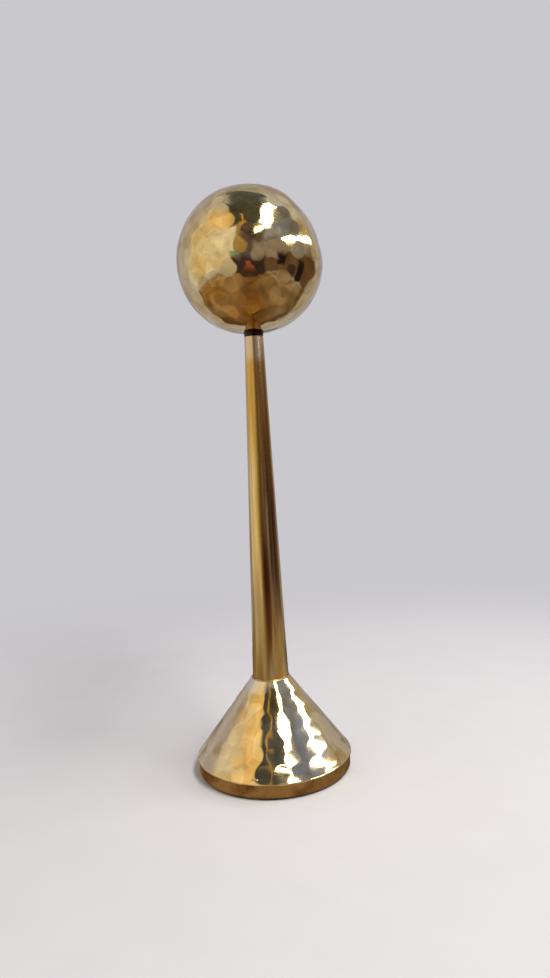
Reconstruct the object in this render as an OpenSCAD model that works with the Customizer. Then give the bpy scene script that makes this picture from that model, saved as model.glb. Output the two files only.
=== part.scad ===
// Hammered brass ball candlestick: a hollow ball with a candle cup let into its top, on a
// tapered tube and a coned foot. One screw from below clamps the foot to the tube.
// Millimetres, +Z up. The origin is the centre of the felt's resting face.

/* [Ball] */
// Outside diameter of the ball
ball_d = 55; // [52:0.5:60]
// Height of the ball's centre above the table
ball_h = 194.5; // [180:0.5:210]
// Thickness of the ball's sheet
ball_wall = 1; // [0.8:0.1:1.4]

/* [Candle cup] */
// Bore that the candle stands in
cup_bore_d = 22.4; // [21:0.1:23]
// Depth of the cup below its rounded lip
cup_depth = 21.5; // [18:0.5:22]
// Thickness of the cup's tube
cup_wall = 1; // [0.8:0.1:1.2]
// Thickness of the cup's floor disc
cup_floor_t = 1.2; // [1:0.1:1.6]

/* [Stem] */
// Diameter at the top, under the collar
stem_top_d = 7.2; // [7:0.1:8]
// Diameter where the stem leaves the coned foot
stem_neck_d = 14; // [12:0.5:16]
// Thickness of the tube's sheet
stem_wall = 0.9; // [0.7:0.1:1]
// Height of the dark collar between the stem and the ball
collar_h = 1.7; // [1.4:0.1:2.4]

/* [Foot] */
// Diameter of the cone at its lower edge
cone_d = 59.8; // [59.6:0.1:62]
// Height at which the cone meets the stem
cone_top_h = 35.8; // [32:0.1:42]
// Thickness of the cone's sheet
cone_wall = 1.2; // [1:0.1:1.4]
// Diameter of the heavy disc under the cone
disc_d = 59; // [58:0.1:59.2]
// Height of the disc's top face above the table
disc_top_h = 5.6; // [5.2:0.1:8]
// Thickness of the felt
felt_t = 0.8; // [0.6:0.1:1.2]

/* [Fixings] */
// Thread diameter of the stud that carries the ball
stud_d = 4; // [3.5:0.5:4]
// Thread diameter of the screw in the foot
screw_d = 5; // [4:0.5:5]

/* [Hidden] */
$fn = 128;
over = 1; // how far a cutting shape runs past what it cuts

// Ball and candle cup
ball_r = ball_d / 2;
ball_inner_r = ball_r - ball_wall;
ball_flat = 1.2; // how far the ball's foot is flattened, where it stands on the collar
ball_foot_h = ball_h - ball_r + ball_flat;
lining_h = 6;
lining_t = 0.8;
cup_bore_r = cup_bore_d / 2;
cup_r = cup_bore_r + cup_wall;
lip_h = ball_h + sqrt(pow(ball_r, 2) - pow(cup_r, 2)); // level with the edge of the ball's hole
cup_floor_h = lip_h - cup_depth;

// Stem and the fixing of the ball
stem_top_r = stem_top_d / 2;
stem_neck_r = stem_neck_d / 2;
collar_spread = 0.2; // how much wider the collar is at its top
stem_top_h = ball_foot_h - collar_h;
stem_taper = (stem_neck_r - stem_top_r) / (stem_top_h - cone_top_h);
stud_r = stud_d / 2;
stud_plug_h = 14;
stud_reach = 8.2; // thread above the stem
stud_lead = 0.5; // chamfer at the thread's end
boss_r = 6;
boss_foot_h = ball_foot_h + ball_wall;
boss_top_h = boss_foot_h + 7;

// Cone: how much its radius grows for each millimetre down, and its wall measured level
cone_r = cone_d / 2;
cone_edge_h = 0.5; // upright edge at the cone's foot
cone_land = 0.4; // width of the cone's top edge around the stem
cone_drop = cone_top_h - disc_top_h - cone_edge_h;
cone_slope = (cone_r - stem_neck_r - cone_land) / cone_drop;
cone_wall_level = cone_wall * sqrt(1 + pow(cone_slope, 2));

// Disc, with a step that centres the cone and a seat that centres the stem
disc_r = disc_d / 2;
disc_edge_round = 0.5;
step_h = 1.2;
step_gap = 0.1;
step_r = cone_r - cone_wall_level - cone_slope * (step_h - cone_edge_h) - step_gap;
foot_h = disc_top_h - 1; // height of the stem's lower end
foot_gap = 0.1;
foot_plug_h = 13;
felt_r = disc_r - 0.7;

// Screw, washer and their recess in the disc
screw_r = screw_d / 2;
screw_gap = 0.2;
screw_head_r = 4.25;
screw_head_h = 1.8;
screw_end_h = foot_h + 8;
tapping_h = 10;
slot_w = 1.1;
slot_depth = 0.9;
washer_r = 5.5;
washer_t = 0.5;
recess_r = 6.2;
recess_top_h = felt_t + screw_head_h + washer_t + 0.1;
washer_h = recess_top_h - washer_t; // height of the washer's lower face

function stem_r(h) = stem_neck_r + stem_taper * (cone_top_h - h);

// A filled sphere about the ball's centre.
module solid_ball(radius) {
  translate([0, 0, ball_h])
    sphere(r = radius);
}

// A slab wider than the ball, between two heights.
module slab(low, high) {
  translate([-ball_d, -ball_d, low])
    cube([2 * ball_d, 2 * ball_d, high - low]);
}

// A round bar on the axis, between two heights.
module bar(radius, low, high) {
  translate([0, 0, low])
    cylinder(r = radius, h = high - low);
}

// The stem's outside, or thinner by inset, between two heights.
module tapered_bar(low, high, inset = 0) {
  translate([0, 0, low])
    cylinder(r1 = stem_r(low) - inset, r2 = stem_r(high) - inset, h = high - low);
}

// Upper half of the ball, raised from sheet, with the hole that takes the cup.
module ball_upper_shell() {
  color("#c9a24a")
    difference() {
      intersection() {
        solid_ball(ball_r);
        slab(ball_h, ball_h + ball_r + over);
      }
      solid_ball(ball_inner_r);
      bar(cup_r, ball_h, ball_h + ball_r + over);
    }
}

// Lower half of the ball, flattened at its foot, with the hole that the stud comes through.
module ball_lower_shell() {
  color("#c9a24a")
    difference() {
      intersection() {
        solid_ball(ball_r);
        slab(ball_foot_h, ball_h);
      }
      intersection() {
        solid_ball(ball_inner_r);
        slab(boss_foot_h, ball_h + over);
      }
      bar(stud_r, ball_foot_h - over, ball_h);
    }
}

// Strip inside the equator that backs the soldered seam of the two halves.
module ball_lining_ring() {
  color("#a8863c")
    difference() {
      intersection() {
        solid_ball(ball_inner_r);
        slab(ball_h - lining_h / 2, ball_h + lining_h / 2);
      }
      solid_ball(ball_inner_r - lining_t);
    }
}

// Tube that the candle stands in, with a rounded lip level with the edge of the ball's hole.
module candle_cup() {
  color("#bd9744")
    rotate_extrude()
      union() {
        translate([cup_bore_r, cup_floor_h])
          square([cup_wall, cup_depth - cup_wall / 2]);
        translate([cup_bore_r + cup_wall / 2, lip_h - cup_wall / 2])
          circle(r = cup_wall / 2);
      }
}

// Disc soldered across the foot of the cup.
module cup_floor() {
  color("#a8863c")
    bar(cup_r, cup_floor_h - cup_floor_t, cup_floor_h);
}

// Tapped bush soldered on the flat inside the foot of the ball.
module ball_boss() {
  color("#a8863c")
    difference() {
      bar(boss_r, boss_foot_h, boss_top_h);
      bar(stud_r, boss_foot_h - over, boss_top_h + over);
    }
}

// Dark collar that flares from the stem to the ball's flat foot.
module seat_collar() {
  color("#2e2623")
    difference() {
      translate([0, 0, stem_top_h])
        cylinder(r1 = stem_top_r, r2 = stem_top_r + collar_spread, h = collar_h);
      bar(stud_r, stem_top_h - over, ball_foot_h + over);
    }
}

// Plug brazed in the top of the stem, whose threaded end carries the ball.
module stem_stud() {
  color("#a8863c")
    union() {
      tapered_bar(stem_top_h - stud_plug_h, stem_top_h, stem_wall);
      bar(stud_r, stem_top_h, stem_top_h + stud_reach);
      translate([0, 0, stem_top_h + stud_reach])
        cylinder(r1 = stud_r, r2 = stud_r - stud_lead, h = stud_lead);
    }
}

// Tapered tube, from its seat in the disc to the collar.
module stem_tube() {
  color("#b8923f")
    difference() {
      tapered_bar(foot_h, stem_top_h);
      tapered_bar(foot_h - over, stem_top_h + over, stem_wall);
    }
}

// Plug brazed in the foot of the stem and tapped for the base screw.
module stem_foot_plug() {
  color("#a8863c")
    difference() {
      tapered_bar(foot_h, foot_h + foot_plug_h, stem_wall);
      bar(screw_r, foot_h - over, foot_h + tapping_h);
    }
}

// Cone of hammered sheet, brazed round the stem and standing on the disc.
module base_cone() {
  color("#c9a24a")
    difference() {
      rotate_extrude()
        polygon([
          [stem_neck_r + cone_land, cone_top_h],
          [cone_r, disc_top_h + cone_edge_h],
          [cone_r, disc_top_h],
          [cone_r - cone_wall_level, disc_top_h],
          [cone_r - cone_wall_level, disc_top_h + cone_edge_h],
          [stem_neck_r + cone_land - cone_wall_level, cone_top_h]
        ]);
      tapered_bar(disc_top_h, cone_top_h + over);
    }
}

// Heavy turned disc: its edge is the plain band under the cone.
module base_disc() {
  color("#a47d34")
    difference() {
      union() {
        rotate_extrude()
          union() {
            translate([0, felt_t])
              square([disc_r - disc_edge_round, disc_top_h - felt_t]);
            translate([0, felt_t + disc_edge_round])
              square([disc_r, disc_top_h - felt_t - disc_edge_round]);
            translate([disc_r - disc_edge_round, felt_t + disc_edge_round])
              circle(r = disc_edge_round);
          }
        bar(step_r, disc_top_h - over, disc_top_h + step_h);
      }
      bar(stem_r(foot_h) + foot_gap, foot_h, disc_top_h + step_h + over);
      bar(screw_r + screw_gap, 0, disc_top_h);
      bar(recess_r, 0, recess_top_h);
    }
}

// Plain washer at the top of the disc's recess.
module screw_washer() {
  color("#9a9a98")
    difference() {
      bar(washer_r, washer_h, recess_top_h);
      bar(screw_r + screw_gap, washer_h - over, recess_top_h + over);
    }
}

// Slotted screw that pulls the disc up against the cone and the stem.
module base_screw() {
  color("#8f8f8c")
    difference() {
      union() {
        bar(screw_head_r, washer_h - screw_head_h, washer_h);
        bar(screw_r, washer_h, screw_end_h);
      }
      translate([-screw_head_r - over, -slot_w / 2, washer_h - screw_head_h - over])
        cube([2 * (screw_head_r + over), slot_w, slot_depth + over]);
    }
}

// Felt glued under the disc, over the screw's recess.
module felt_pad() {
  color("#2f3a2c")
    bar(felt_r, 0, felt_t);
}

ball_upper_shell();
ball_lower_shell();
ball_lining_ring();
candle_cup();
cup_floor();
ball_boss();
seat_collar();
stem_stud();
stem_tube();
stem_foot_plug();
base_cone();
base_disc();
screw_washer();
base_screw();
felt_pad();
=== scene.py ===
import math

import bmesh
import bpy
import numpy as np
from mathutils import Matrix, Vector


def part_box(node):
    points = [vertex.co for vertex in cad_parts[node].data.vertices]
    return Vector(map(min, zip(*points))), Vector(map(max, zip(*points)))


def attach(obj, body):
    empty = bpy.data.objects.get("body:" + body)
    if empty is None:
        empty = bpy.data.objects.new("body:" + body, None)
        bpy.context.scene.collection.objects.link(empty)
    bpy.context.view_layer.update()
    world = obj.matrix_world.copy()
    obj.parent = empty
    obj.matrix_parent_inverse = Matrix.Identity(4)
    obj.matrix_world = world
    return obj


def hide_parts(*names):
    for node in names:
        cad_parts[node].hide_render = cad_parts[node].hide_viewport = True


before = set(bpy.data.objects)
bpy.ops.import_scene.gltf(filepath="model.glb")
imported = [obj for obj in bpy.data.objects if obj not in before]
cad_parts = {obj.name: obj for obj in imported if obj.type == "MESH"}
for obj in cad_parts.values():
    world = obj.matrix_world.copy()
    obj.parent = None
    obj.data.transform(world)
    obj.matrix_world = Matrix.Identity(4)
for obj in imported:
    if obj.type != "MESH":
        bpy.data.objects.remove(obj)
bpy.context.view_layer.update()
scene = bpy.context.scene
scene.view_settings.view_transform = "Standard"
mm = 0.001

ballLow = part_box("ball_lower_shell")
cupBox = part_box("candle_cup")
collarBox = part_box("seat_collar")
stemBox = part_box("stem_tube")
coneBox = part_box("base_cone")
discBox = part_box("base_disc")
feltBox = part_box("felt_pad")

ballRadius = ballLow[1].x
ballCentre = Vector((0, 0, ballLow[1].z))


# Small helpers for colours, nodes and meshes

def linear(hexColour, power=1.0):
    channels = [int(hexColour[i:i + 2], 16) / 255 for i in (1, 3, 5)]
    bent = [c / 12.92 if c <= 0.04045 else ((c + 0.055) / 1.055) ** 2.4 for c in channels]
    return [c * power for c in bent] + [1.0]


def addNode(tree, kind, inputs=None, **settings):
    node = tree.nodes.new(kind)
    for name, value in settings.items():
        setattr(node, name, value)
    for name, value in (inputs or {}).items():
        if isinstance(value, bpy.types.NodeSocket):
            tree.links.new(value, node.inputs[name])
        else:
            node.inputs[name].default_value = value
    return node


def newMaterial(name, metallic=1.0, roughness=0.2):
    material = bpy.data.materials.new(name)
    material.use_nodes = True
    tree = material.node_tree
    shader = tree.nodes["Principled BSDF"]
    shader.inputs["Metallic"].default_value = metallic
    shader.inputs["Roughness"].default_value = roughness
    place = addNode(tree, "ShaderNodeTexCoord").outputs["Object"]
    return material, tree, shader, place


def finishPiece(name, bm, sharpAngle=35):
    mesh = bpy.data.meshes.new(name)
    bm.to_mesh(mesh)
    bm.free()
    mesh.shade_smooth()
    mesh.set_sharp_from_angle(angle=math.radians(sharpAngle))
    piece = bpy.data.objects.new(name, mesh)
    scene.collection.objects.link(piece)
    return piece


def spinProfile(name, outline, steps, sharpAngle=35):
    # outline is a closed run of (radius, height) points; an eighth is spun, then doubled three times
    bm = bmesh.new()
    verts = [bm.verts.new((radius, 0, height)) for radius, height in outline]
    edges = [bm.edges.new(pair) for pair in zip(verts, verts[1:] + verts[:1])]
    bmesh.ops.spin(bm, geom=verts + edges, cent=(0, 0, 0), axis=(0, 0, 1), angle=math.tau / 8,
                   steps=steps // 8, use_merge=False)
    for turn in (math.tau / 8, math.tau / 4, math.tau / 2):
        copied = bmesh.ops.duplicate(bm, geom=bm.verts[:] + bm.edges[:] + bm.faces[:])
        fresh = [item for item in copied["geom"] if isinstance(item, bmesh.types.BMVert)]
        bmesh.ops.rotate(bm, cent=(0, 0, 0), matrix=Matrix.Rotation(turn, 3, "Z"), verts=fresh)
    bmesh.ops.remove_doubles(bm, verts=bm.verts, dist=0.001 * mm)
    bmesh.ops.recalc_face_normals(bm, faces=bm.faces)
    return finishPiece(name, bm, sharpAngle)


def dress(piece, material, slot, *nodes):
    piece.data.materials.clear()
    piece.data.materials.append(material)
    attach(piece, "root")
    if nodes:
        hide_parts(*nodes)


def arc(centre, radius, start, end, steps):
    # points on a circle in the (radius, height) plane, angles in degrees from straight out
    turns = [math.radians(start + (end - start) * i / steps) for i in range(steps + 1)]
    return [(centre[0] + radius * math.cos(t), centre[1] + radius * math.sin(t)) for t in turns]


def between(start, end, steps):
    return [(start[0] + (end[0] - start[0]) * i / steps, start[1] + (end[1] - start[1]) * i / steps)
            for i in range(steps + 1)]


def direction(azimuth, elevation):
    # azimuth 0 faces the camera's side, + turns to its right
    a, e = math.radians(azimuth), math.radians(elevation)
    return Vector((math.sin(a) * math.cos(e), -math.cos(a) * math.cos(e), math.sin(e)))


def readPoints(mesh):
    points = np.empty(len(mesh.vertices) * 3)
    mesh.vertices.foreach_get("co", points)
    return points.reshape(-1, 3)


def writePoints(mesh, points):
    mesh.vertices.foreach_set("co", points.ravel())
    mesh.update()


def hammerDepth(points, blows, depths, curve, ridge):
    # every blow leaves a shallow dish, and the deepest dish wins, with polished ridges between
    deep = np.empty(len(points))
    batch = 4000                    # points at a time, to keep the memory small
    for first in range(0, len(points), batch):
        part = points[first:first + batch]
        gap = ((part[:, None, :] - blows[None, :, :]) ** 2).sum(axis=2)
        dish = depths[None, :] - curve * gap / 2
        top = dish.max(axis=1)
        polished = np.exp((dish - top[:, None]) / ridge).sum(axis=1)
        deep[first:first + batch] = top + ridge * np.log(polished)
    return deep.clip(0)


def lumps(turn, waves, rng, climb=0):
    # a slow unevenness round a piece, from 0 to 1, which climb turns as it rises
    swell = sum(np.cos(wave * turn + rng.uniform(0, math.tau) + climb) for wave in waves)
    return (1 + swell / len(waves)) / 2


# Studio: camera, floor, board, windows, and the tent of cards that the brass mirrors

studio = {
    "backdrop": "#c9c8cd",
    "floorTone": "#dcd9d4",
    "floorMottle": 60.0,            # patches per metre in its paint
    "floorRadius": 3.0,
    "floorDrop": 0.05 * mm,         # a hair under the felt
    "floorFade": (0.12, 0.42),      # where the floor starts and ends its fade into the backdrop, metres
    "board": {"left": -0.45, "right": 0.37, "front": -0.31, "back": 0.163, "lift": 0.3 * mm,
              "tones": ("#a08468", "#7a5636", "#8e7c6e"), "toneReach": 0.12, "sheen": "#b4aeae",
              "patch": 90 * mm, "grain": (34 * mm, 260 * mm), "shade": (0.02, 0.15)},
    "tent": "#adabbb",
    "cloud": (0.72, 1.22),          # the dimmest and brightest that the cards' light drifts to
    "crumple": 5.0,                 # how far the cards' edges wander, degrees
    "crumpleOverhead": 0.07,        # and overhead, in shares of the height
    # azimuth, elevation, width, height, edge softness in degrees, lean (rise per degree to the right), tone
    "cards": [
        ("ceiling", 0, 90, 360, 58, 10, 0, "#a5a5a4"),
        ("skyGlow", 112, 66, 62, 52, 12, 0, "#c6cdec"),
        ("leftFar", -104, 30, 70, 100, 14, 0, "#b9bad6"),
        ("leftWall", -62, 22, 86, 80, 5, 0, "#ddd6d4"),
        ("leftGlow", -54, 50, 56, 24, 7, 0.1, "#fae2c0"),
        ("frontGap", 6, 22, 48, 104, 3, 0, "#5d545c"),
        ("overheadDark", 5, 70, 74, 54, 4, 0.1, "#4c5060"),
        ("rightShade", 63, 40, 78, 42, 4, 0.12, "#7680b0"),
        ("rightHaze", 76, 12, 72, 12, 2, 0, "#8e8da4"),
        ("rightDark", 72, -10, 100, 32, 3, 0, "#644d44"),
        ("slotLeft", 50, -5, 14, 19, 1.5, 0, "#1c1a1e"),
        ("slotRight", 88, -14, 13, 24, 1.5, 0, "#201c20"),
        ("slotLow", 70, -17, 10, 9, 1.5, 0, "#3b2c32"),
        ("paleDoor", 26, 4, 38, 24, 3, 0, "#9890a0"),
        ("paleSlot", 40, 27, 30, 8, 3, 0.3, "#9a9cba"),
        ("goldColumn", -12, 26, 9, 38, 2, 0, "#b09260"),
        ("goldPatch", -9, 42, 16, 10, 2, 0.3, "#b8924e"),
        ("darkGap", 4, 27, 14, 14, 2, 0, "#4a4046"),
        ("greenPatch", -22, 0, 14, 9, 2, 0, "#7f9a94"),
        ("darkCentre", -1, -20, 54, 30, 3, 0, "#3d3238"),
        ("redPatch", -1, -21, 7, 15, 1.5, 0, "#985a48"),
    ],
    # the same overhead, where the sizes are shares of the height above the ball and up means away
    "overhead": [
        ("darkBeam", 0.03, 0.06, 0.52, 0.58, 0.03, -0.47, "#50565c"),
        ("darkBeamFoot", -0.08, -0.35, 0.60, 0.70, 0.03, 0, "#4e535a"),
        ("goldLine", -0.13, -0.80, 0.05, 0.60, 0.012, 0, "#cfa865"),
    ],
    # windows: first and last end's (azimuth, elevation), width in mm, radiance
    "windows": [
        ("tallWindow", (27, 38), (82, 66), 200, 14.0),
        ("ledge", (6, 32), (36, 36), 26, 8.0),
        ("lowWindow", (52, 17), (82, 19), 84, 14.0),
        ("lowWindowRight", (84, 21), (116, 22), 92, 14.0),
        ("footWindow", (88, 21), (122, 17), 118, 14.0),       # lights the cone only
    ],
    "windowDistance": 0.82,
}


def makeCards(tree, seen, cards, across, up, unit):
    for name, x, y, width, height, soft, lean, tone in cards:
        shift = addNode(tree, "ShaderNodeMath", {0: across, 1: x * unit}, operation="SUBTRACT")
        leaned = addNode(tree, "ShaderNodeMath", {0: shift.outputs[0], 1: -lean, 2: up},
                         operation="MULTIPLY_ADD")
        rise = addNode(tree, "ShaderNodeMath", {0: leaned.outputs[0], 1: y * unit}, operation="SUBTRACT")
        masks = []
        for offset, size in ((shift, width), (rise, height)):
            away = addNode(tree, "ShaderNodeMath", {0: offset.outputs[0]}, operation="ABSOLUTE")
            masks.append(addNode(tree, "ShaderNodeMapRange", {
                "Value": away.outputs[0], "From Min": (size / 2 - soft) * unit,
                "From Max": (size / 2 + soft) * unit, "To Min": 1.0, "To Max": 0.0,
            }, interpolation_type="SMOOTHSTEP").outputs["Result"])
        mask = addNode(tree, "ShaderNodeMath", {0: masks[0], 1: masks[1]}, operation="MULTIPLY")
        seen = addNode(tree, "ShaderNodeMix", {0: mask.outputs[0], 6: seen, 7: linear(tone)},
                       data_type="RGBA", label=name).outputs[2]
    return seen


def wander(tree, way, value, seed, reach):
    # moves a card's edges to and fro by up to reach, so that no edge is ruled
    drift = addNode(tree, "ShaderNodeTexNoise", {"Vector": way, "W": seed, "Scale": 7.0, "Detail": 3.0},
                    noise_dimensions="4D")
    swing = addNode(tree, "ShaderNodeMath", {0: drift.outputs["Fac"], 1: 0.5}, operation="SUBTRACT")
    return addNode(tree, "ShaderNodeMath", {0: swing.outputs[0], 1: 2 * reach, 2: value},
                   operation="MULTIPLY_ADD").outputs[0]


def makeTent():
    # the brass mirrors the cards, while the camera sees a plain pale backdrop
    world = bpy.data.worlds.new("studio")
    scene.world = world
    world.use_nodes = True
    tree = world.node_tree
    tree.nodes.clear()
    way = addNode(tree, "ShaderNodeTexCoord").outputs["Generated"]
    parts = addNode(tree, "ShaderNodeSeparateXYZ", {"Vector": way})
    toFront = addNode(tree, "ShaderNodeMath", {0: parts.outputs["Y"], 1: -1.0}, operation="MULTIPLY")
    azimuth = addNode(tree, "ShaderNodeMath", {0: parts.outputs["X"], 1: toFront.outputs[0]},
                      operation="ARCTAN2")
    elevation = addNode(tree, "ShaderNodeMath", {0: parts.outputs["Z"]}, operation="ARCSINE")
    angles = [wander(tree, way, angle.outputs[0], seed, math.radians(studio["crumple"]))
              for angle, seed in ((azimuth, 3.0), (elevation, 11.0))]
    seen = makeCards(tree, linear(studio["tent"]), studio["cards"], *angles, math.radians(1))
    above = addNode(tree, "ShaderNodeMath", {0: parts.outputs["Z"], 1: 0.02}, operation="MAXIMUM")
    shares = []
    for axis, seed in (("X", 5.0), ("Y", 17.0)):
        share = addNode(tree, "ShaderNodeMath", {0: parts.outputs[axis], 1: above.outputs[0]},
                        operation="DIVIDE")
        shares.append(wander(tree, way, share.outputs[0], seed, studio["crumpleOverhead"]))
    seen = makeCards(tree, seen, studio["overhead"], *shares, 1.0)
    cloud = addNode(tree, "ShaderNodeTexNoise", {"Vector": way, "Scale": 5.0, "Detail": 4.0})
    low, high = studio["cloud"]
    shade = addNode(tree, "ShaderNodeMapRange", {"Value": cloud.outputs["Fac"], "From Min": 0.3,
                                                 "From Max": 0.7, "To Min": low, "To Max": high})
    mirrored = addNode(tree, "ShaderNodeBackground", {"Color": seen, "Strength": shade.outputs["Result"]})
    plain = addNode(tree, "ShaderNodeBackground", {"Color": linear(studio["backdrop"])})
    ray = addNode(tree, "ShaderNodeLightPath")
    both = addNode(tree, "ShaderNodeMixShader", {0: ray.outputs["Is Camera Ray"], 1: mirrored.outputs[0],
                                                 2: plain.outputs[0]})
    addNode(tree, "ShaderNodeOutputWorld", {"Surface": both.outputs[0]})


def makeWindows():
    # slim soft boxes round the ball, each a lit rectangle between two directions
    for name, first, last, width, radiance in studio["windows"]:
        ends = [direction(*end) * studio["windowDistance"] for end in (first, last)]
        middle = (ends[0] + ends[1]) / 2
        along = (ends[1] - ends[0]).normalized()
        towards = -middle.normalized()
        back = -(towards - along * towards.dot(along)).normalized()
        turn = Matrix((along, back.cross(along), back)).transposed().to_4x4()
        light = bpy.data.lights.new(name, "AREA")
        light.shape = "RECTANGLE"
        light.size = (ends[1] - ends[0]).length
        light.size_y = width * mm
        light.energy = radiance * math.pi * light.size * light.size_y
        lamp = bpy.data.objects.new(name, light)
        scene.collection.objects.link(lamp)
        lamp.matrix_world = Matrix.Translation(ballCentre + middle) @ turn
        lamp.visible_camera = False


# place and lens in mm, tilts in degrees
view = {"place": (5.2, -281.5, 127.2), "down": 3.8, "roll": -2.8, "lens": 27.06, "sensor": 36}


def makeCamera():
    lens = bpy.data.cameras.new("camera")
    lens.lens = view["lens"]
    lens.sensor_width = view["sensor"]
    lens.clip_start = 10 * mm
    camera = bpy.data.objects.new("camera", lens)
    scene.collection.objects.link(camera)
    camera.matrix_world = (Matrix.Translation(Vector(view["place"]) * mm)
                           @ Matrix.Rotation(math.radians(90 - view["down"]), 4, "X")
                           @ Matrix.Rotation(math.radians(view["roll"]), 4, "Z"))
    scene.camera = camera


def makeFloor():
    # a pale sweep that fades into the backdrop, and is clear from below so that the felt shows
    bm = bmesh.new()
    bmesh.ops.create_circle(bm, cap_ends=True, segments=96, radius=studio["floorRadius"])
    bmesh.ops.translate(bm, vec=(0, 0, -studio["floorDrop"]), verts=bm.verts)
    floor = finishPiece("floor", bm)
    material, tree, shader, place = newMaterial("paleSweep", 0.0, 0.85)
    mottle = addNode(tree, "ShaderNodeTexNoise", {"Vector": place, "Scale": studio["floorMottle"],
                                                  "Detail": 5.0})
    tone = addNode(tree, "ShaderNodeMix", {0: mottle.outputs["Fac"], 6: linear(studio["floorTone"], 0.94),
                                           7: linear(studio["floorTone"])}, data_type="RGBA")
    tree.links.new(tone.outputs[2], shader.inputs["Base Color"])
    reach = addNode(tree, "ShaderNodeVectorMath", {0: place}, operation="LENGTH")
    start, end = studio["floorFade"]
    fade = addNode(tree, "ShaderNodeMapRange", {"Value": reach.outputs["Value"], "From Min": start,
                                                "From Max": end}, interpolation_type="SMOOTHERSTEP")
    far = addNode(tree, "ShaderNodeEmission", {"Color": linear(studio["backdrop"])})
    top = addNode(tree, "ShaderNodeMixShader", {0: fade.outputs["Result"], 1: shader.outputs[0],
                                                2: far.outputs[0]})
    side = addNode(tree, "ShaderNodeNewGeometry")
    clear = addNode(tree, "ShaderNodeBsdfTransparent")
    both = addNode(tree, "ShaderNodeMixShader", {0: side.outputs["Backfacing"], 1: top.outputs[0],
                                                 2: clear.outputs[0]})
    tree.links.new(both.outputs[0], tree.nodes["Material Output"].inputs["Surface"])
    floor.data.materials.append(material)
    floor.visible_glossy = False


def makeBoard():
    # a toned board that only the brass sees, so that its lower half mirrors something warm: it glows with
    # painted light in place of a lit table, with a painted sheen at grazing angles and a painted shade
    # towards the back
    board = studio["board"]
    bm = bmesh.new()
    bmesh.ops.create_grid(bm, x_segments=1, y_segments=1, size=0.5)
    size = (board["right"] - board["left"], board["back"] - board["front"], 1)
    bmesh.ops.scale(bm, vec=size, verts=bm.verts)
    middle = ((board["right"] + board["left"]) / 2, (board["back"] + board["front"]) / 2, board["lift"])
    bmesh.ops.translate(bm, vec=middle, verts=bm.verts)
    piece = finishPiece("board", bm)
    material, tree, shader, place = newMaterial("tonedBoard")
    parts = addNode(tree, "ShaderNodeSeparateXYZ", {"Vector": place})
    ramp = addNode(tree, "ShaderNodeMapRange", {"Value": parts.outputs["X"], "From Min": -board["toneReach"],
                                                "From Max": board["toneReach"]})
    tone = addNode(tree, "ShaderNodeValToRGB", {"Fac": ramp.outputs["Result"]})
    tone.color_ramp.elements.new(0.5)
    for stop, colour in zip(tone.color_ramp.elements, board["tones"]):
        stop.color = linear(colour)
    wide, long = board["grain"]
    stretched = addNode(tree, "ShaderNodeMapping", {"Vector": place, "Scale": (1 / wide, 1 / long, 1)})
    grain = addNode(tree, "ShaderNodeTexNoise", {"Vector": stretched.outputs[0], "Scale": 1.0, "Detail": 1.0})
    patch = addNode(tree, "ShaderNodeTexNoise", {"Vector": place, "Scale": 1 / board["patch"], "Detail": 0.0})
    light = addNode(tree, "ShaderNodeMath", {0: grain.outputs["Fac"], 1: 0.25, 2: patch.outputs["Fac"]},
                    operation="MULTIPLY_ADD")
    power = addNode(tree, "ShaderNodeMapRange", {"Value": light.outputs[0], "From Min": 0.45,
                                                 "From Max": 0.8, "To Min": 0.6, "To Max": 1.2})
    slant = addNode(tree, "ShaderNodeLayerWeight", {"Blend": 0.5})
    shallow = addNode(tree, "ShaderNodeMapRange", {"Value": slant.outputs["Facing"], "From Min": 0.66,
                                                   "From Max": 0.76}, interpolation_type="SMOOTHSTEP")
    seen = addNode(tree, "ShaderNodeMix", {0: shallow.outputs["Result"], 6: tone.outputs["Color"],
                                           7: linear(board["sheen"])}, data_type="RGBA")
    # painted shade: the board glows dimmer towards the back
    start, end = board["shade"]
    backShade = addNode(tree, "ShaderNodeMapRange", {"Value": parts.outputs["Y"], "From Min": start,
                                                  "From Max": end, "To Min": 1.0, "To Max": 0.5},
                     interpolation_type="SMOOTHSTEP")
    level = addNode(tree, "ShaderNodeMath", {0: power.outputs["Result"], 1: backShade.outputs["Result"]},
                    operation="MULTIPLY")
    glow = addNode(tree, "ShaderNodeEmission", {"Color": seen.outputs[2], "Strength": level.outputs[0]})
    tree.links.new(glow.outputs[0], tree.nodes["Material Output"].inputs["Surface"])
    piece.data.materials.append(material)
    piece.visible_camera = False
    piece.visible_diffuse = False
    piece.visible_shadow = False
    piece.visible_transmission = False


# The ball: two raised halves, hammered all over

ball = {
    "steps": 400,
    "wall": 1.0 * mm,
    "studHole": 2.0 * mm,
    "skin": 0.1 * mm,         # what lies this close to the outside is hammered
    "spacing": 6.2 * mm,      # between hammer marks
    "packing": 0.87,          # of evenly spread round marks
    "stray": 0.26,            # how far a mark falls from its place, in shares of the spacing
    "flatness": 0.7,          # 0 leaves the ball round, 1 makes every mark flat
    "depth": 0.09 * mm,
    "depthSpread": 0.3,
    "ridge": 0.010 * mm,      # how much the polishing took off the ridges
    "seed": 7,
    # soft flats left by the raising: azimuth, elevation, half width in degrees, depth in mm
    "flats": [(84, 27, 23, 1.9), (86, 38, 13, 0.6), (60, 84, 20, 0.45), (0, -90, 28, 0.75)],
    "footSoft": 0.12 * mm,    # how softly the flat foot runs into the round
}


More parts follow.
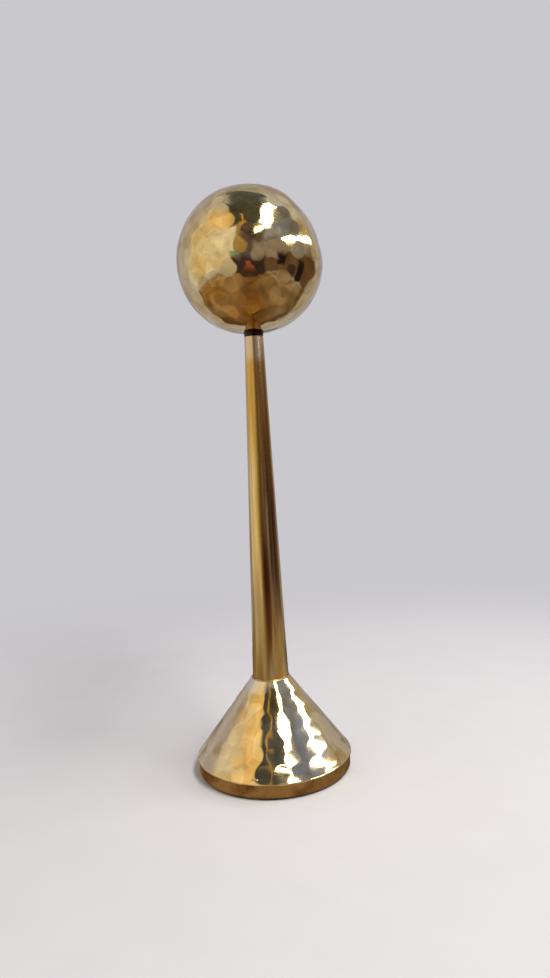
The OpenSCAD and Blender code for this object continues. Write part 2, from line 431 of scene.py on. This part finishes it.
def ballBlows():
    rng = np.random.default_rng(ball["seed"])
    count = round(4 * math.pi * ballRadius ** 2 / (ball["packing"] * ball["spacing"] ** 2))
    step = np.arange(count) + 0.5
    height = 1 - 2 * step / count
    turn = step * math.pi * (3 - math.sqrt(5))
    wide = np.sqrt(1 - height ** 2)
    blows = np.stack([wide * np.cos(turn), wide * np.sin(turn), height], axis=1)
    blows += rng.normal(0, ball["stray"] * ball["spacing"] / ballRadius, blows.shape)
    blows *= ballRadius / np.linalg.norm(blows, axis=1)[:, None]
    depths = ball["depth"] * (1 + ball["depthSpread"] * rng.normal(0, 1, count).clip(-1.5, 1.5))
    return blows, depths


def hammerBall(piece, blows, depths):
    points = readPoints(piece.data) - np.array(ballCentre)
    reach = np.linalg.norm(points, axis=1)
    outer = reach > ballRadius - ball["skin"]
    skin = points[outer]
    curve = ball["flatness"] / ballRadius
    depth = hammerDepth(skin, blows, depths, curve, ball["ridge"])
    unit = skin / reach[outer][:, None]
    for azimuth, elevation, width, flat in ball["flats"]:
        off = np.degrees(np.arccos((unit @ np.array(direction(azimuth, elevation))).clip(-1, 1)))
        depth += flat * mm * np.exp(-(off / width) ** 2)
    points[outer] = unit * (ballRadius - depth)[:, None]
    points += np.array(ballCentre)
    foot = np.where(outer, ballLow[0].z, ballLow[0].z + ball["wall"])
    above = (points[:, 2] - foot) / ball["footSoft"]
    points[:, 2] = foot + ball["footSoft"] * (np.log1p(np.exp(-np.abs(above))) + above.clip(0))
    writePoints(piece.data, points)


def makeBall(brass):
    inner = ballRadius - ball["wall"]
    centre = (0, ballCentre.z)
    halves = []
    # name, radius of the hole at its end, side of the seam, steps along its outside
    shapes = (("ballUpper", cupBox[1].x, 1, 72), ("ballLower", ball["studHole"], -1, 96))
    for name, hole, sign, steps in shapes:
        outerEnd = sign * math.degrees(math.acos(hole / ballRadius))
        innerEnd = sign * math.degrees(math.acos(hole / inner))
        outline = arc(centre, ballRadius, 0, outerEnd, steps) + arc(centre, inner, innerEnd, 0, 10)
        halves.append(spinProfile(name, outline, ball["steps"]))
    blows, depths = ballBlows()
    for half, node in zip(halves, ("ball_upper_shell", "ball_lower_shell")):
        hammerBall(half, blows, depths)
        dress(half, brass, "hammered_brass", node)


# The foot's cone: hammered in rows, with a soft lower edge

cone = {
    "steps": 416,
    "wall": 1.5 * mm,
    "neck": 7.4 * mm,         # its top edge, just outside the stem
    "mouth": 0.9,             # radius of the hole at its top, in shares of the stem's foot
    "edge": 0.5 * mm,         # height of its upright edge
    "edgeRound": 0.18 * mm,
    "spacing": 6.8 * mm,
    "rowGap": 0.92,           # between rows, in shares of the spacing
    "stray": (0.16, 0.13),    # how far a mark falls from its place, round and up, in shares of a place
    "curve": 19.0,            # per metre: how dished each mark is
    "depth": 0.11 * mm,
    "depthSpread": 0.3,
    "ridge": 0.012 * mm,
    "skin": 0.4 * mm,         # what lies this close to the outside is hammered
    "calm": (0.35, 3 * mm),   # how much of a mark is left at the edge, and over what height it grows
    "seed": 5,
}


def coneBlows(foot, top):
    rng = np.random.default_rng(cone["seed"])
    rows = round((top - foot).length / (cone["rowGap"] * cone["spacing"]))
    sideways, upwards = cone["stray"]
    blows = []
    for row in range(-1, rows + 2):
        share = (row + 0.5) / rows
        radius = foot.x + (top.x - foot.x) * share
        around = max(6, round(math.tau * radius / cone["spacing"]))
        for place in range(around):
            turn = math.tau * (place + 0.5 * (row % 2) + rng.normal(0, sideways)) / around
            slip = share + rng.normal(0, upwards) / rows
            away = foot.x + (top.x - foot.x) * slip
            blows.append((away * math.cos(turn), away * math.sin(turn), foot.y + (top.y - foot.y) * slip))
    depths = cone["depth"] * (1 + cone["depthSpread"] * rng.normal(0, 1, len(blows)).clip(-1.5, 1.5))
    return np.array(blows), depths


def makeCone(brass):
    low, high = coneBox[0].z, coneBox[1].z
    radius, roll, rim = coneBox[1].x, cone["edgeRound"], coneBox[0].z + cone["edge"]
    outline = [(radius, low), (radius, rim - roll), (radius - 0.3 * roll, rim + 0.1 * roll)]
    outline += between((radius - roll, rim + 0.8 * roll), (cone["neck"], high), 96)
    inner = radius - cone["wall"]
    outline += [(cone["mouth"] * stemBox[1].x, high), (inner, rim), (inner, low)]
    piece = spinProfile("cone", outline, cone["steps"])
    points = readPoints(piece.data)
    around = np.hypot(points[:, 0], points[:, 1])
    rise = (points[:, 2] - rim) / (high - rim)
    skin = around > radius + (cone["neck"] - radius) * rise.clip(0, 1) - cone["skin"]
    skin &= points[:, 2] > low + cone["edge"] / 10      # all but its lowest ring
    blows, depths = coneBlows(Vector((radius, rim)), Vector((cone["neck"], high)))
    depth = hammerDepth(points[skin], blows, depths, cone["curve"], cone["ridge"])
    calm, growth = cone["calm"]
    depth *= (calm + (points[skin][:, 2] - rim) / growth).clip(calm, 1)
    slope = math.atan2(radius - cone["neck"], high - rim)
    flat = -points[skin][:, :2] / around[skin][:, None] * math.cos(slope)
    inward = np.column_stack([flat, np.full(skin.sum(), -math.sin(slope))])
    points[skin] += inward * depth[:, None]
    writePoints(piece.data, points)
    dress(piece, brass, "hammered_brass", "base_cone")
    only = bpy.data.collections.new("coneOnly")
    only.objects.link(piece)
    bpy.data.objects["footWindow"].light_linking.receiver_collection = only


# Stem, collar and cup

stem = {
    "steps": 128,
    "rows": 220,
    "wall": 0.9 * mm,
    "skin": 0.3 * mm,         # what lies this close to the outside is uneven
    "top": 3.6 * mm,          # radius under the collar
    "waver": 0.025 * mm,      # how unevenly the tube was drawn down
    "seed": 3,
    # dents: azimuth, height, half size and depth in mm
    "dents": [(-32, 121.5, 2.2, 0.07), (28, 96, 5.0, 0.05), (-10, 61, 6.0, 0.05)],
    # runs of tone on the front only, heat tone together with painted reflections and painted highlights:
    # place across the front, reach, foot, top and fade in mm, colour, strength
    "heatAndReflections": [(2.0, 12.0, 132, 170, 24, "#d8a848", 0.6), (2.6, 2.2, 54, 80, 22, "#9c5a30", 1.0),
             (4.4, 2.2, 112, 158, 16, "#8c6038", 0.7), (3.0, 1.1, 96, 150, 20, "#8a5224", 0.6),
             (5.7, 2.2, 66, 102, 16, "#80604c", 0.65), (1.0, 7.0, 161, 170, 6, "#f2e4c4", 0.5)],
}


def makeStem(brass):
    low, high, foot = stemBox[0].z, stemBox[1].z, stemBox[1].x
    outline = between((foot, low), (stem["top"], high), stem["rows"])
    outline += [(stem["top"] - stem["wall"], high), (foot - stem["wall"], low)]
    piece = spinProfile("stem", outline, stem["steps"])
    points = readPoints(piece.data)
    around = np.hypot(points[:, 0], points[:, 1])
    taper = (stem["top"] - foot) / (high - low)
    outer = around > foot + taper * (points[:, 2] - low) - stem["skin"]
    skin, reach = points[outer], around[outer]
    turn = np.arctan2(skin[:, 0], -skin[:, 1])
    rng = np.random.default_rng(stem["seed"])
    depth = np.full(len(skin), stem["waver"])
    for wave in range(2, 9):
        phase = rng.uniform(0, math.tau, 2)
        sideways = np.cos(wave % 3 * turn + phase[0])
        lengthwise = np.cos(wave * math.pi * skin[:, 2] / (high - low) + phase[1])
        depth += stem["waver"] / 4 * sideways * lengthwise
    for azimuth, height, size, dent in stem["dents"]:
        side = (turn - math.radians(azimuth) + math.pi) % math.tau - math.pi
        gap = (side * reach) ** 2 + (skin[:, 2] - height * mm) ** 2
        depth += dent * mm * np.exp(-gap / (size * mm) ** 2)
    points[outer, :2] *= (1 - depth.clip(0) / reach)[:, None]
    writePoints(piece.data, points)
    dress(piece, brass, "stem_brass", "stem_tube")


collar = {
    "steps": 96,
    "hole": 2.0 * mm,
    "waist": 3.54 * mm,
    "bead": 3.66 * mm,
    "beadHeight": 0.6 * mm,
    "flareHeight": 1.2 * mm,
    "rough": 0.06 * mm,
    "climb": 900,             # per metre: how fast the roughness turns as it rises
    "seed": 11,
}


def makeCollar(oxide):
    low, high, top = collarBox[0].z, collarBox[1].z, collarBox[1].x
    hole, waist, bead = collar["hole"], collar["waist"], collar["bead"]
    outline = [(hole, low), (waist, low)]
    outline += arc((waist, low + collar["beadHeight"]), bead - waist, -80, 60, 8)
    outline += [((bead + top) / 2, low + collar["flareHeight"]), (top, high), (hole, high)]
    piece = spinProfile("collar", outline, collar["steps"])
    points = readPoints(piece.data)
    turn = np.arctan2(points[:, 1], points[:, 0])
    outer = np.hypot(points[:, 0], points[:, 1]) > (hole + waist) / 2
    rng = np.random.default_rng(collar["seed"])
    rough = lumps(turn, (3, 5, 8, 13), rng, collar["climb"] * points[:, 2])
    points[outer, :2] *= (1 - collar["rough"] * rough / top)[outer][:, None]
    writePoints(piece.data, points)
    dress(piece, oxide, "dark_collar", "seat_collar")


cup = {"steps": 128, "bore": 11.2 * mm}


def makeCup(brass):
    outer = cupBox[1].x
    rim = (outer - cup["bore"]) / 2
    outline = [(outer, cupBox[0].z)] + arc((cup["bore"] + rim, cupBox[1].z - rim), rim, 0, 180, 12)
    outline += [(cup["bore"], cupBox[0].z)]
    dress(spinProfile("cup", outline, cup["steps"]), brass, "stem_brass", "candle_cup")


# Disc, felt, and the braze and solder that hold the foot

disc = {
    "steps": 256,
    "backShade": 0.5 * mm,
    "stepInset": 2.9 * mm,    # of the step that centres the cone
    "socket": 1.05,           # how much wider the stem's socket is than the stem
    "screwHole": 2.75 * mm,
    "uneven": 0.05 * mm,      # how far the file left its edge out of true
    "climb": 150,             # per metre: how fast the unevenness turns as it rises
    "seed": 8,
}


def makeDisc(brass):
    low, top, radius = discBox[0].z, coneBox[0].z, discBox[1].x
    stepRadius, socket = radius - disc["stepInset"], disc["socket"] * stemBox[1].x
    outline = [(disc["screwHole"], low)]
    outline += arc((radius - disc["backShade"], low + disc["backShade"]), disc["backShade"], -90, 0, 8)
    outline += between((radius, low + 2 * disc["backShade"]), (radius, top), 8)
    outline += [(stepRadius, top), (stepRadius, discBox[1].z), (socket, discBox[1].z),
                (socket, stemBox[0].z), (disc["screwHole"], stemBox[0].z)]
    piece = spinProfile("disc", outline, disc["steps"])
    points = readPoints(piece.data)
    outer = np.hypot(points[:, 0], points[:, 1]) > radius - 2 * disc["backShade"]
    turn = np.arctan2(points[:, 1], points[:, 0])
    rng = np.random.default_rng(disc["seed"])
    uneven = lumps(turn, (2, 5, 9, 14), rng, disc["climb"] * points[:, 2])
    points[outer, :2] *= (1 - disc["uneven"] * uneven / radius)[outer][:, None]
    writePoints(piece.data, points)
    dress(piece, brass, "band_brass", "base_disc")


felt = {"steps": 192, "backShade": 0.15 * mm, "fray": 0.18 * mm, "fibre": 0.5 * mm, "seed": 4}


def makeFelt(wool):
    low, high, radius = feltBox[0].z, feltBox[1].z, feltBox[1].x
    outline = between((0, high), (radius - felt["backShade"], high), 12)
    outline += arc((radius - felt["backShade"], high - felt["backShade"]), felt["backShade"], 60, 0, 2)
    outline += arc((radius - felt["backShade"], low + felt["backShade"]), felt["backShade"], 0, -90, 3)
    outline += between((radius - 3 * felt["backShade"], low), (0, low), 12)
    piece = spinProfile("felt", outline, felt["steps"])
    points = readPoints(piece.data)
    around = np.hypot(points[:, 0], points[:, 1])
    edge = around > radius - 2 * felt["backShade"]
    rng = np.random.default_rng(felt["seed"])
    points[edge, :2] *= (1 - rng.uniform(0, felt["fray"], edge.sum()) / around[edge])[:, None]
    writePoints(piece.data, points)
    dress(piece, wool, "felt", "felt_pad")


braze = {
    "steps": 160,
    "thick": 0.36 * mm,
    "sunk": 0.12 * mm,        # how far its middle lies inside the cone's top edge
    "rough": 0.45,
    "seed": 21,
    # solder bump on the cone's lower edge: azimuth, then length, width, height, inset and rise in mm
    "bump": (-14, 2.6, 0.9, 0.35, 1.0, 1.15),
}


def makeBraze(metal):
    joint = (cone["neck"] - braze["sunk"], coneBox[1].z)
    piece = spinProfile("brazeRing", arc(joint, braze["thick"], 0, 337.5, 15), braze["steps"], 180)
    points = readPoints(piece.data)
    around = np.hypot(points[:, 0], points[:, 1])
    turn = np.arctan2(points[:, 1], points[:, 0])
    rng = np.random.default_rng(braze["seed"])
    size = 1 - braze["rough"] * lumps(turn, (2, 3, 5, 7, 11), rng)
    points[:, :2] *= ((joint[0] + (around - joint[0]) * size) / around)[:, None]
    points[:, 2] = joint[1] + (points[:, 2] - joint[1]) * size
    writePoints(piece.data, points)
    dress(piece, metal, "stem_brass")


def makeSolderBump(metal):
    azimuth, length, width, height, inset, rise = braze["bump"]
    bm = bmesh.new()
    bmesh.ops.create_icosphere(bm, subdivisions=4, radius=mm)
    bmesh.ops.scale(bm, vec=(length / 2, width / 2, height), verts=bm.verts)
    slope = math.atan2(coneBox[1].z - coneBox[0].z, coneBox[1].x - cone["neck"])
    bmesh.ops.rotate(bm, cent=(0, 0, 0), matrix=Matrix.Rotation(slope, 3, "X"), verts=bm.verts)
    spot = (0, inset * mm - coneBox[1].x, coneBox[0].z + cone["edge"] + rise * mm)
    bmesh.ops.translate(bm, vec=spot, verts=bm.verts)
    turn = Matrix.Rotation(math.radians(azimuth), 3, "Z")
    bmesh.ops.rotate(bm, cent=(0, 0, 0), matrix=turn, verts=bm.verts)
    dress(finishPiece("solderBump", bm, 180), metal, "hammered_brass")


# Materials

hammered = {
    "cell": 6 * mm,                     # tone changes from one hammer mark to the next
    "bend": (5 * mm, 2 * mm),           # size and reach of the bends in the cells' edges
    "patch": 11 * mm,                   # clouds of tone across the marks
    "smudge": 3 * mm,
    "roughness": (0.05, 0.12),          # polished, smudged
    "scratch": (0.5 * mm, 6 * mm),      # a polishing line's width, drawn coarse enough to show, and length
}


def hammeredBrass(name, toned, clean, stainsAndPaintedReflections):
    # planished and buffed brass: bright gold with faint smudges, plus listed patches of tone, some of them
    # painted reflections
    material, tree, shader, place = newMaterial(name)
    bend, reach = hammered["bend"]
    drift = addNode(tree, "ShaderNodeTexNoise", {"Vector": place, "Scale": 1 / bend, "Detail": 2.0})
    bent = addNode(tree, "ShaderNodeVectorMath", {0: drift.outputs["Color"], 1: [reach] * 3, 2: place},
                   operation="MULTIPLY_ADD")
    cells = addNode(tree, "ShaderNodeTexVoronoi", {"Vector": bent.outputs[0], "Scale": 1 / hammered["cell"]})
    cellTone = addNode(tree, "ShaderNodeSeparateColor", {"Color": cells.outputs["Color"]})
    patches = addNode(tree, "ShaderNodeTexNoise", {"Vector": place, "Scale": 1 / hammered["patch"],
                                                   "Detail": 4.0})
    both = addNode(tree, "ShaderNodeMath", {0: cellTone.outputs["Red"], 1: 0.3, 2: patches.outputs["Fac"]},
                   operation="MULTIPLY_ADD")
    tone = addNode(tree, "ShaderNodeValToRGB", {"Fac": both.outputs[0]})
    for stop, where, shade in zip(tone.color_ramp.elements, (0.42, 0.78), (toned, clean)):
        stop.position = where
        stop.color = linear(shade)
    colour = tone.outputs["Color"]
    smooth, smudged = hammered["roughness"]
    haze = addNode(tree, "ShaderNodeTexNoise", {"Vector": place, "Scale": 1 / hammered["smudge"],
                                                "Detail": 5.0})
    rough = addNode(tree, "ShaderNodeMapRange", {"Value": haze.outputs["Fac"], "From Min": 0.3,
                                                 "From Max": 0.7, "To Min": smooth, "To Max": smudged})
    rough = rough.outputs["Result"]
    # each mark, real stains and painted reflections alike: centre, reach and stretch in mm, colour, strength,
    # roughness
    for centre, reach, stretch, markTone, strength, dull in stainsAndPaintedReflections:
        shift = addNode(tree, "ShaderNodeVectorMath", {0: place, 1: Vector(centre) * mm},
                        operation="SUBTRACT")
        scale = [1 / (reach * share * mm) for share in stretch]
        scaled = addNode(tree, "ShaderNodeVectorMath", {0: shift.outputs[0], 1: scale}, operation="MULTIPLY")
        off = addNode(tree, "ShaderNodeVectorMath", {0: scaled.outputs[0]}, operation="LENGTH")
        ragged = addNode(tree, "ShaderNodeMath", {0: haze.outputs["Fac"], 1: 0.9, 2: off.outputs["Value"]},
                         operation="MULTIPLY_ADD")
        mask = addNode(tree, "ShaderNodeMapRange", {"Value": ragged.outputs[0], "From Min": 0.95,
                                                    "From Max": 1.5, "To Min": strength, "To Max": 0.0},
                       interpolation_type="SMOOTHSTEP").outputs["Result"]
        colour = addNode(tree, "ShaderNodeMix", {0: mask, 6: colour, 7: linear(markTone)},
                         data_type="RGBA").outputs[2]
        rough = addNode(tree, "ShaderNodeMix", {0: mask, 2: rough, 3: dull}).outputs[0]
    tree.links.new(colour, shader.inputs["Base Color"])
    tree.links.new(rough, shader.inputs["Roughness"])
    width, length = hammered["scratch"]
    scratches = addNode(tree, "ShaderNodeMapping", {"Vector": place, "Rotation": (0.3, 0.5, 0.0),
                                                    "Scale": (1 / width, 1 / width, 1 / length)})
    lines = addNode(tree, "ShaderNodeTexNoise", {"Vector": scratches.outputs[0], "Scale": 1.0, "Detail": 3.0})
    relief = addNode(tree, "ShaderNodeBump", {"Height": lines.outputs["Fac"], "Strength": 0.10,
                                              "Distance": 0.03 * mm})
    tree.links.new(relief.outputs[0], shader.inputs["Normal"])
    return material


drawn = {
    "streak": (2.2 * mm, 45 * mm),      # width and length of the soft streaks
    "rub": (0.35 * mm, 9 * mm),         # and of the fine lines
    "tones": ("#c99a40", "#ecd08a"),
    "waver": 4 * mm,                    # how far a run of tone strays to the side
}


def stemBrass():
    # drawn brass tube, rubbed lengthwise: satin gold in soft streaks, with runs of heat tone, painted
    # reflections and painted highlights along its front
    material, tree, shader, place = newMaterial("satinStemBrass")
    width, length = drawn["streak"]
    along = addNode(tree, "ShaderNodeMapping", {"Vector": place, "Scale": (1 / width, 1 / width, 1 / length)})
    streaks = addNode(tree, "ShaderNodeTexNoise", {"Vector": along.outputs[0], "Scale": 1.0, "Detail": 4.0})
    tone = addNode(tree, "ShaderNodeValToRGB", {"Fac": streaks.outputs["Fac"]})
    for stop, where, shade in zip(tone.color_ramp.elements, (0.34, 0.62), drawn["tones"]):
        stop.position = where
        stop.color = linear(shade)
    parts = addNode(tree, "ShaderNodeSeparateXYZ", {"Vector": place})
    # the runs of heat tone and painted reflection are painted on the front only
    front = addNode(tree, "ShaderNodeMapRange", {"Value": parts.outputs["Y"], "From Min": -0.5 * mm,
                                                 "From Max": -2.5 * mm})
    wavy = addNode(tree, "ShaderNodeMath", {0: streaks.outputs["Fac"], 1: drawn["waver"],
                                            2: parts.outputs["X"]}, operation="MULTIPLY_ADD")
    colour = tone.outputs["Color"]
    for across, reach, foot, top, fade, markTone, strength in stem["heatAndReflections"]:
        off = addNode(tree, "ShaderNodeMath", {0: wavy.outputs[0], 1: across * mm}, operation="SUBTRACT")
        away = addNode(tree, "ShaderNodeMath", {0: off.outputs[0]}, operation="ABSOLUTE")
        mask = front.outputs["Result"]
        for value, start, end in ((away.outputs[0], reach, 0.25 * reach),
                                  (parts.outputs["Z"], foot - fade, foot),
                                  (parts.outputs["Z"], top + fade, top)):
            part = addNode(tree, "ShaderNodeMapRange", {"Value": value, "From Min": start * mm,
                                                        "From Max": end * mm},
                           interpolation_type="SMOOTHSTEP")
            mask = addNode(tree, "ShaderNodeMath", {0: mask, 1: part.outputs["Result"]},
                           operation="MULTIPLY").outputs[0]
        share = addNode(tree, "ShaderNodeMath", {0: mask, 1: strength}, operation="MULTIPLY")
        colour = addNode(tree, "ShaderNodeMix", {0: share.outputs[0], 6: colour, 7: linear(markTone)},
                         data_type="RGBA").outputs[2]
    tree.links.new(colour, shader.inputs["Base Color"])
    width, length = drawn["rub"]
    fine = addNode(tree, "ShaderNodeMapping", {"Vector": place, "Scale": (1 / width, 1 / width, 1 / length)})
    lines = addNode(tree, "ShaderNodeTexNoise", {"Vector": fine.outputs[0], "Scale": 1.0, "Detail": 3.0})
    rough = addNode(tree, "ShaderNodeMapRange", {"Value": streaks.outputs["Fac"], "From Min": 0.3,
                                                 "From Max": 0.7, "To Min": 0.26, "To Max": 0.15})
    tree.links.new(rough.outputs["Result"], shader.inputs["Roughness"])
    relief = addNode(tree, "ShaderNodeBump", {"Height": lines.outputs["Fac"], "Strength": 0.25,
                                              "Distance": 0.03 * mm})
    tree.links.new(relief.outputs[0], shader.inputs["Normal"])
    return material


def turnedBrass(name, toned, clean, roughness, ring, relief):
    # turned brass: fine rings from the tool, browner in patches where it was handled or never polished
    material, tree, shader, place = newMaterial(name)
    patches = addNode(tree, "ShaderNodeTexNoise", {"Vector": place, "Scale": 1 / (8 * mm), "Detail": 4.0})
    tone = addNode(tree, "ShaderNodeValToRGB", {"Fac": patches.outputs["Fac"]})
    for stop, where, shade in zip(tone.color_ramp.elements, (0.36, 0.6), (toned, clean)):
        stop.position = where
        stop.color = linear(shade)
    tree.links.new(tone.outputs["Color"], shader.inputs["Base Color"])
    rough = addNode(tree, "ShaderNodeMapRange", {"Value": patches.outputs["Fac"], "From Min": 0.3,
                                                 "From Max": 0.7, "To Min": roughness + 0.08,
                                                 "To Max": roughness - 0.04})
    tree.links.new(rough.outputs["Result"], shader.inputs["Roughness"])
    parts = addNode(tree, "ShaderNodeSeparateXYZ", {"Vector": place})
    flat = addNode(tree, "ShaderNodeCombineXYZ", {"X": parts.outputs["X"], "Y": parts.outputs["Y"]})
    around = addNode(tree, "ShaderNodeVectorMath", {0: flat.outputs[0]}, operation="LENGTH")
    rings = addNode(tree, "ShaderNodeCombineXYZ", {"X": around.outputs["Value"], "Y": parts.outputs["Z"]})
    lines = addNode(tree, "ShaderNodeTexNoise", {"Vector": rings.outputs[0], "Scale": 1 / ring,
                                                 "Detail": 2.0})
    bump = addNode(tree, "ShaderNodeBump", {"Height": lines.outputs["Fac"], "Strength": relief,
                                            "Distance": 0.05 * mm})
    tree.links.new(bump.outputs[0], shader.inputs["Normal"])
    return material


def mottledMetal(name, dark, light, size, roughness, relief):
    # metal as it came from the torch or the plating bath: cloudy tone and a fine grain
    material, tree, shader, place = newMaterial(name)
    cloud = addNode(tree, "ShaderNodeTexNoise", {"Vector": place, "Scale": 1 / size, "Detail": 5.0})
    tone = addNode(tree, "ShaderNodeValToRGB", {"Fac": cloud.outputs["Fac"]})
    for stop, where, shade in zip(tone.color_ramp.elements, (0.35, 0.65), (dark, light)):
        stop.position = where
        stop.color = linear(shade)
    tree.links.new(tone.outputs["Color"], shader.inputs["Base Color"])
    rough = addNode(tree, "ShaderNodeMapRange", {"Value": cloud.outputs["Fac"], "From Min": 0.3,
                                                 "From Max": 0.7, "To Min": roughness + 0.08,
                                                 "To Max": roughness - 0.08})
    tree.links.new(rough.outputs["Result"], shader.inputs["Roughness"])
    grain = addNode(tree, "ShaderNodeTexNoise", {"Vector": place, "Scale": 5 / size, "Detail": 3.0})
    bump = addNode(tree, "ShaderNodeBump", {"Height": grain.outputs["Fac"], "Strength": relief,
                                            "Distance": 0.1 * mm})
    tree.links.new(bump.outputs[0], shader.inputs["Normal"])
    return material


def woolFelt():
    # pressed wool felt, dark green: matted fibres with no gloss and a faint bloom at the edge
    material, tree, shader, place = newMaterial("woolFelt", 0.0, 0.95)
    fibres = addNode(tree, "ShaderNodeTexNoise", {"Vector": place, "Scale": 1 / felt["fibre"], "Detail": 6.0,
                                                  "Distortion": 2.0})
    tone = addNode(tree, "ShaderNodeValToRGB", {"Fac": fibres.outputs["Fac"]})
    for stop, where, shade in zip(tone.color_ramp.elements, (0.3, 0.7), ("#1b201a", "#3d463a")):
        stop.position = where
        stop.color = linear(shade)
    tree.links.new(tone.outputs["Color"], shader.inputs["Base Color"])
    shader.inputs["Sheen Weight"].default_value = 0.3
    shader.inputs["Sheen Roughness"].default_value = 0.6
    bump = addNode(tree, "ShaderNodeBump", {"Height": fibres.outputs["Fac"], "Strength": 0.8,
                                            "Distance": 0.15 * mm})
    tree.links.new(bump.outputs[0], shader.inputs["Normal"])
    return material


makeCamera()
makeTent()
makeWindows()
makeFloor()
makeBoard()
print("studio ready")

collarFoot = collarBox[1].z / mm
ballBrass = hammeredBrass("hammeredBallBrass", "#dfba6a", "#f1db9c", [
    # two dark brown patches spread on the ball's underside round the collar's foot
    ((1.0, 0, collarFoot), 4.4, (1.25, 1.0, 0.5), "#5a3c22", 0.8, 0.3),
    ((5.5, -1.5, collarFoot + 0.4), 2.8, (2.2, 0.8, 0.35), "#46302a", 0.85, 0.25),
])
makeBall(ballBrass)
print("ball done")

coneBrass = hammeredBrass("hammeredConeBrass", "#dcb668", "#f3dda0", [
    # painted reflection: a large pale cream patch on the cone's left front, where the brass mirrors the
    # bright side, with a satin roughness
    ((-20, -10, 16), 17.0, (1.0, 1.0, 1.2), "#eed8a2", 0.55, 0.2),
    # painted reflection: a pale grey haze on the cone's right front, standing in for a grey zone that it
    # mirrors
    ((13, -18, 15), 10.0, (1.0, 1.0, 1.3), "#e6dfb8", 0.5, 0.14),
    ((-5, -6, coneBox[1].z / mm - 1), 6.5, (1.2, 1.2, 0.6), "#f6e8c0", 0.8, 0.32),
    ((-13, -11, 26), 4.5, (1.0, 1.0, 1.3), "#d8a654", 0.6, 0.16),
    ((-23, -14, 14), 4.0, (1.2, 1.2, 0.9), "#c9953f", 0.6, 0.16),
])
makeCone(coneBrass)
print("cone done")

tubeBrass = stemBrass()
makeStem(tubeBrass)
# a near-black brown collar under the ball, all round
makeCollar(mottledMetal("nearBlackCollar", "#24171a", "#57403c", 1.4 * mm, 0.42, 0.4))
makeCup(tubeBrass)
makeDisc(turnedBrass("turnedBandBrass", "#a27c3e", "#ecdc9c", 0.24, 0.6 * mm, 0.15))
makeFelt(woolFelt())
brazeMetal = mottledMetal("paleBraze", "#a88a50", "#e6d4a4", 1.2 * mm, 0.42, 0.35)
makeBraze(brazeMetal)
makeSolderBump(brazeMetal)
print("stem, cup and foot done")

innerBrass = turnedBrass("machinedBrass", "#a8823f", "#cda75c", 0.34, 0.25 * mm, 0.5)
zincSteel = mottledMetal("zincPlatedSteel", "#8d9094", "#c3c5c6", 2.0 * mm, 0.34, 0.2)
for name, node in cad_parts.items():
    node.data.materials.clear()
    node.data.materials.append(zincSteel if name in ("base_screw", "screw_washer") else innerBrass)
print("inner pieces done")
